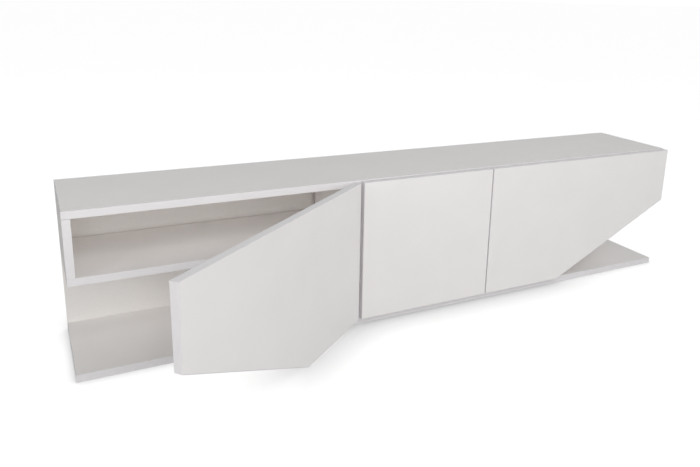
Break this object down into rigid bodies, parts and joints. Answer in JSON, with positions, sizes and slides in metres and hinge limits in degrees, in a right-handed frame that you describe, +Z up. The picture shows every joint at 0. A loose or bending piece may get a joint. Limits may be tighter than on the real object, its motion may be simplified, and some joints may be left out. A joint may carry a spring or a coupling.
{
  "type": "tv stand with doors",
  "caption": "Long low TV stand with a board carcass, open wing boxes above open ends, and flush handle-less doors on concealed hinges.",
  "frame": {"origin": "centre of the bottom panel's underside", "axes": "+Z up, +X to the right and +Y to the back as seen from the front"},
  "size_m": [1.8, 0.7379, 0.4],
  "materials": {
    "white_board": "white satin melamine-faced board with matching edge band",
    "back_sheet": "white lacquered fibreboard",
    "nickel": "nickel-plated pressed steel",
    "grey_plastic": "moulded light grey plastic"
  },
  "bodies": {
    "carcass": {"bottom_panel": "white_board", "centre_back_panel": "back_sheet", "centre_lower_hinge_arm": "nickel", "centre_lower_hinge_arm_pin": "nickel", "centre_lower_hinge_plate": "nickel", "centre_upper_hinge_arm": "nickel", "centre_upper_hinge_arm_pin": "nickel", "centre_upper_hinge_plate": "nickel", "latch_housing": "grey_plastic", "left_back_panel": "back_sheet", "left_end_panel": "white_board", "left_inner_divider": "white_board", "left_lower_connector_bolt": "nickel", "left_lower_hinge_arm": "nickel", "left_lower_hinge_arm_pin": "nickel", "left_lower_hinge_plate": "nickel", "left_outer_divider": "white_board", "left_upper_connector_bolt": "nickel", "left_upper_hinge_arm": "nickel", "left_upper_hinge_arm_pin": "nickel", "left_upper_hinge_plate": "nickel", "left_wing_shelf": "white_board", "right_back_panel": "back_sheet", "right_end_panel": "white_board", "right_inner_divider": "white_board", "right_lower_connector_bolt": "nickel", "right_lower_hinge_arm": "nickel", "right_lower_hinge_arm_pin": "nickel", "right_lower_hinge_plate": "nickel", "right_outer_divider": "white_board", "right_upper_connector_bolt": "nickel", "right_upper_hinge_arm": "nickel", "right_upper_hinge_arm_pin": "nickel", "right_upper_hinge_plate": "nickel", "right_wing_shelf": "white_board", "top_panel": "white_board"},
    "left_hinge_links": {"left_lower_hinge_link": "nickel", "left_upper_hinge_link": "nickel"},
    "left_door": {"left_door": "white_board", "left_lower_hinge_cup": "nickel", "left_upper_hinge_cup": "nickel", "left_lower_hinge_cup_pin": "nickel", "left_upper_hinge_cup_pin": "nickel"},
    "centre_hinge_links": {"centre_lower_hinge_link": "nickel", "centre_upper_hinge_link": "nickel"},
    "centre_door": {"centre_door": "white_board", "centre_lower_hinge_cup": "nickel", "centre_upper_hinge_cup": "nickel", "centre_lower_hinge_cup_pin": "nickel", "centre_upper_hinge_cup_pin": "nickel", "latch_strike": "nickel"},
    "right_hinge_links": {"right_lower_hinge_link": "nickel", "right_upper_hinge_link": "nickel"},
    "right_door": {"right_door": "white_board", "right_lower_hinge_cup": "nickel", "right_upper_hinge_cup": "nickel", "right_lower_hinge_cup_pin": "nickel", "right_upper_hinge_cup_pin": "nickel"},
    "latch_plunger": {"latch_plunger": "grey_plastic"}
  },
  "joints": [
    {"name": "left_link_pivot", "type": "hinge", "parent": "carcass", "child": "left_hinge_links", "pos_m": [-0.24, -0.128, 0.2], "axis": [0, 0, 1], "range_deg": [-38.3, 29.3]},
    {"name": "left_door_pivot", "type": "hinge", "parent": "left_hinge_links", "child": "left_door", "pos_m": [-0.22698, -0.15592, 0.2], "axis": [0, 0, 1], "range_deg": [-68.25, 89.25]},
    {"name": "centre_link_pivot", "type": "hinge", "parent": "carcass", "child": "centre_hinge_links", "pos_m": [0.164, -0.128, 0.2], "axis": [0, 0, 1], "range_deg": [-67.55, 0.05]},
    {"name": "centre_door_pivot", "type": "hinge", "parent": "centre_hinge_links", "child": "centre_door", "pos_m": [0.189, -0.146, 0.2], "axis": [0, 0, 1], "range_deg": [0, 157.5]},
    {"name": "right_link_pivot", "type": "hinge", "parent": "carcass", "child": "right_hinge_links", "pos_m": [0.24, -0.128, 0.2], "axis": [0, 0, -1], "range_deg": [-67.55, 0.05]},
    {"name": "right_door_pivot", "type": "hinge", "parent": "right_hinge_links", "child": "right_door", "pos_m": [0.215, -0.146, 0.2], "axis": [0, 0, -1], "range_deg": [0, 157.5]},
    {"name": "latch_push", "type": "slide", "parent": "carcass", "child": "latch_plunger", "axis": [0, 1, 0], "range_m": [0, 0.003], "stiffness_N_per_m": 1200}
  ],
  "couplings": [
    {"joint": "left_link_pivot", "follows": "left_door_pivot", "ratio": -0.42857},
    {"joint": "centre_link_pivot", "follows": "centre_door_pivot", "ratio": -0.42857},
    {"joint": "right_link_pivot", "follows": "right_door_pivot", "ratio": -0.42857}
  ]
}
